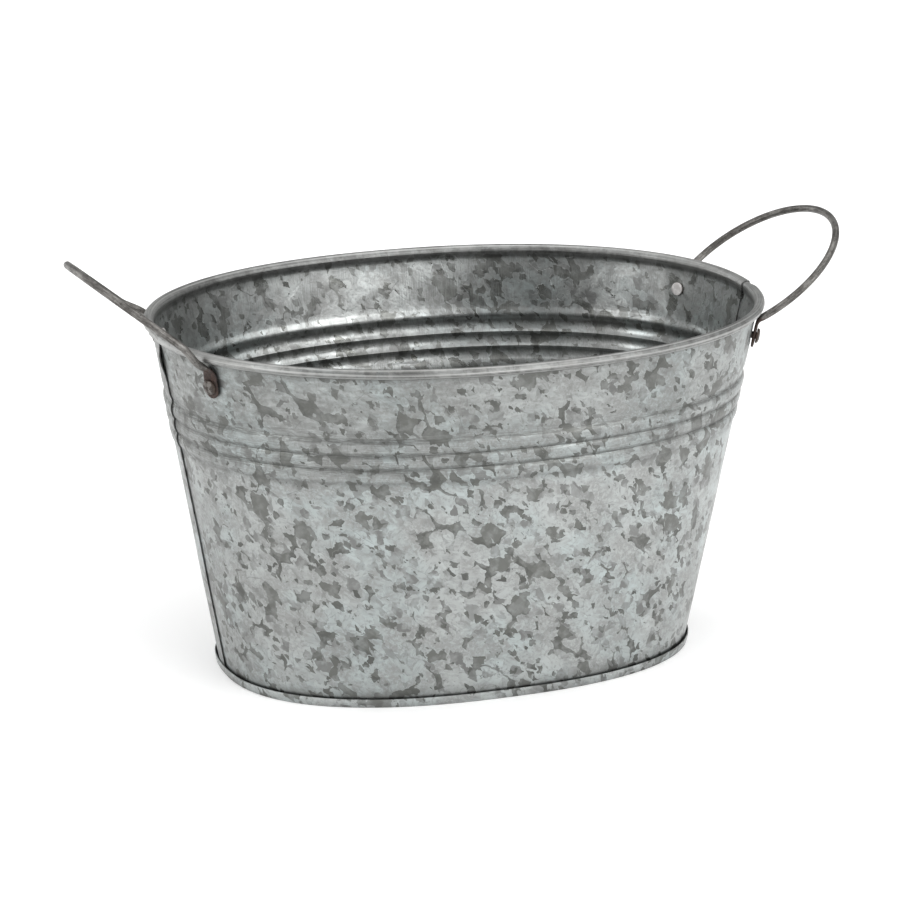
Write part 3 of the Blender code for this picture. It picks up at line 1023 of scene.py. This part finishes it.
class TUB_OT_add_handles(bpy.types.Operator):
    """Adds the two wire handles, each a loop with flattened, riveted ends"""

    bl_idname = "tub.add_handles"
    bl_label = "Wire Handles"

    def execute(self, context):
        settings = context.scene.tub_wire
        finish = wire_finish("handle_wire", settings)
        left = add_handle("wire_handle_left", -1, settings.left_reach, settings.left_tilt,
                          settings.left_twist, settings)
        right = add_handle("wire_handle_right", 1, settings.right_reach, settings.right_tilt, 0, settings)
        hand_over(left, "handle_left", finish)
        hand_over(right, "handle_right", finish)
        return {"FINISHED"}


class TUB_OT_add_rim_wire(bpy.types.Operator):
    """Adds the stiffening wire that the rim is rolled round"""

    bl_idname = "tub.add_rim_wire"
    bl_label = "Rim Wire"

    def execute(self, context):
        settings = context.scene.tub_wire
        upright = Vector((0, 0, 1))
        turns = [2 * math.pi * i / PANEL_COLUMNS for i in range(PANEL_COLUMNS + 1)]
        shape = (upright, RIM_WIRE_RADIUS, RIM_WIRE_RADIUS, 2)
        stations = [(oval(turn, ROLL_HEIGHT, ROLL_OUTSET), *shape) for turn in turns]
        wire = tube("rim_core_wire", stations, True)
        shade(wire, 60)
        paint_points(wire, "rust", [0.5] * len(wire.data.vertices))
        hand_over(wire, "rim_wire", wire_finish("rim_wire_steel", settings))
        return {"FINISHED"}


# ---- rivets ------------------------------------------------------------------------------


def rivet_profile():
    """Points (radius, height, stain and painted shade) from the inner head's face through the sheet to the
    outer crown.
    """
    under_inner = -SHEET - GAP
    face = under_inner - INNER_HEAD_THICKNESS
    under_outer = PADDLE_GAP + 2 * PADDLE_HALF_THICKNESS + GAP
    crown = under_outer + OUTER_HEAD_THICKNESS
    shoulder = under_outer + OUTER_HEAD_THICKNESS * 0.35
    corner = INNER_HEAD_THICKNESS * 0.45
    points = [(INNER_HEAD_RADIUS * 0.5, face, 0.0)]
    for i in range(5):
        turn = math.pi / 2 * i / 4
        radius = INNER_HEAD_RADIUS - corner * (1 - math.sin(turn))
        points.append((radius, face + corner * (1 - math.cos(turn)), 0.55 * i / 4))
    points += [
        (INNER_HEAD_RADIUS, under_inner, 1.0),
        (RIVET_RADIUS, under_inner, 1.0),
        (RIVET_RADIUS, under_outer, 1.0),
        (OUTER_HEAD_RADIUS * 0.96, under_outer, 1.0),
        (OUTER_HEAD_RADIUS, under_outer + 0.0001, 0.9),
    ]
    for i in range(9):
        turn = math.pi / 2 * i / 9
        height = mix(shoulder, crown, math.sin(turn))
        points.append((OUTER_HEAD_RADIUS * math.cos(turn), height, 0.7 * (1 - i / 9) ** 2))
    return points


def add_rivet(name, placed, seed):
    """A ring extruded from point to point of the rivet's outline and closed at both ends."""
    profile = rivet_profile()
    clear_selection()
    bpy.ops.mesh.primitive_circle_add(vertices=RIVET_SIDES, radius=profile[0][0])
    rivet = named(name)

    def ring(radius, height):
        return lambda co: Vector((*(co.xy.normalized() * radius), height))

    with editing(rivet):
        bpy.ops.mesh.select_all(action="SELECT")
        move_selected(rivet, ring(*profile[0][:2]))
        bpy.ops.mesh.edge_face_add()
        bpy.ops.mesh.select_mode(type="EDGE")
        bpy.ops.mesh.select_all(action="DESELECT")
        bpy.ops.mesh.select_non_manifold(extend=False)
        for radius, height, _ in profile[1:]:
            bpy.ops.mesh.extrude_edges_move(TRANSFORM_OT_translate={"value": (0, 0, 0)})
            move_selected(rivet, ring(radius, height))
        bpy.ops.mesh.select_mode(type="VERT")
        bpy.ops.mesh.merge(type="CENTER")
        bpy.ops.mesh.select_all(action="SELECT")
        bpy.ops.mesh.normals_make_consistent(inside=False)
    # Each vertex takes the stain and painted shade of the nearest outline point.
    grime_and_shade = []
    for vert in rivet.data.vertices:
        away = Vector((vert.co.xy.length, vert.co.z))
        nearest = min(profile, key=lambda point: (Vector(point[:2]) - away).length)
        grime_and_shade.append(nearest[2])
        hammered = HAMMER_DEPTH * noise.noise(vert.co * HAMMER_MARKS + Vector((seed, 0, 0)))
        if vert.co.xy.length < OUTER_HEAD_RADIUS * 0.95:
            vert.co.z += hammered
    paint_points(rivet, "grime_and_shade", grime_and_shade)
    paint_points(rivet, "inside", [1.0 if vert.co.z < 0 else 0.0 for vert in rivet.data.vertices])
    rivet.data.transform(placed)
    shade(rivet, 35)
    return rivet


class TUB_OT_add_rivets(bpy.types.Operator):
    """Adds the four rivets that hold the handles"""

    bl_idname = "tub.add_rivets"
    bl_label = "Rivets"

    def execute(self, context):
        finish = rivet_finish("rivet_steel")
        for seed, (corner, sides) in enumerate(SIDES.items()):
            rivet = add_rivet("ear_rivet_" + corner, ear(*sides), 7.3 * seed)
            hand_over(rivet, "rivet_" + corner, finish)
        return {"FINISHED"}


# ---- studio ------------------------------------------------------------------------------


class TUB_OT_add_studio(bpy.types.Operator):
    """Adds the pale floor, the soft lights and the camera"""

    bl_idname = "tub.add_studio"
    bl_label = "Studio"

    def execute(self, context):
        settings = context.scene.tub_studio
        scene = context.scene
        clear_selection()
        bpy.ops.mesh.primitive_circle_add(vertices=96, radius=14, fill_type="NGON")
        floor = named("studio_floor")
        floor.data.materials.append(floor_finish("studio_floor", settings))

        world = bpy.data.worlds.new("studio_room")
        scene.world = world
        world.use_nodes = True
        background = world.node_tree.nodes["Background"]
        background.inputs["Color"].default_value = (1, 1, 1, 1)
        background.inputs["Strength"].default_value = settings.room

        for name, strength, spread, slope, turn in (
            ("overhead_light", settings.key, 80, 6, 30),
            ("side_light", settings.key * 0.34, 35, 66, 50),
            ("front_card", settings.cards, 32, 74, 25),
            ("left_card", settings.cards * 0.95, 34, 74, -66),
            ("rear_card", settings.cards * 0.7, 44, 72, -135),
        ):
            angles = (math.radians(slope), 0, math.radians(turn))
            bpy.ops.object.light_add(type="SUN", rotation=angles)
            light = named(name)
            light.data.energy = strength
            light.data.angle = math.radians(spread)

        turned = Matrix.Rotation(-CAMERA_YAW, 4, "Z")
        turned = turned @ Matrix.Rotation(math.pi / 2 + CAMERA_PITCH, 4, "X")
        turned = turned @ Matrix.Rotation(CAMERA_ROLL, 4, "Z")
        place = Vector(CAMERA_AIM) + turned @ Vector((0, 0, settings.distance))
        bpy.ops.object.camera_add(location=place, rotation=turned.to_euler())
        camera = named("studio_camera")
        camera.data.lens = settings.lens
        camera.data.sensor_width = 36
        camera.data.clip_end = 60
        scene.camera = camera
        scene.view_settings.view_transform = "Standard"
        return {"FINISHED"}


# ---- panel and running order -------------------------------------------------------------


class TUB_PT_parts(bpy.types.Panel):
    bl_idname = "TUB_PT_parts"
    bl_label = "Oval Tub"
    bl_space_type = "VIEW_3D"
    bl_region_type = "UI"
    bl_category = "Oval Tub"

    def draw(self, context):
        for group in ("tub_sheet", "tub_wire", "tub_studio"):
            settings = getattr(context.scene, group)
            box = self.layout.box()
            for name in settings.__annotations__:
                box.prop(settings, name)
        for operator in OPERATORS:
            self.layout.operator(operator.bl_idname)


SETTINGS = {"tub_sheet": SheetSettings, "tub_wire": WireSettings, "tub_studio": StudioSettings}
OPERATORS = (
    TUB_OT_add_studio,
    TUB_OT_add_wall,
    TUB_OT_add_base,
    TUB_OT_add_rim_wire,
    TUB_OT_add_handles,
    TUB_OT_add_rivets,
)


def register():
    for cls in (*SETTINGS.values(), *OPERATORS, TUB_PT_parts):
        bpy.utils.register_class(cls)
    for name, cls in SETTINGS.items():
        setattr(bpy.types.Scene, name, PointerProperty(type=cls))


def unregister():
    for name in SETTINGS:
        delattr(bpy.types.Scene, name)
    for cls in reversed((*SETTINGS.values(), *OPERATORS, TUB_PT_parts)):
        bpy.utils.unregister_class(cls)


def main():
    register()
    bpy.ops.tub.add_studio()
    bpy.ops.tub.add_wall()
    bpy.ops.tub.add_base()
    bpy.ops.tub.add_rim_wire()
    bpy.ops.tub.add_handles()
    bpy.ops.tub.add_rivets()


if __name__ == "__main__":
    main()
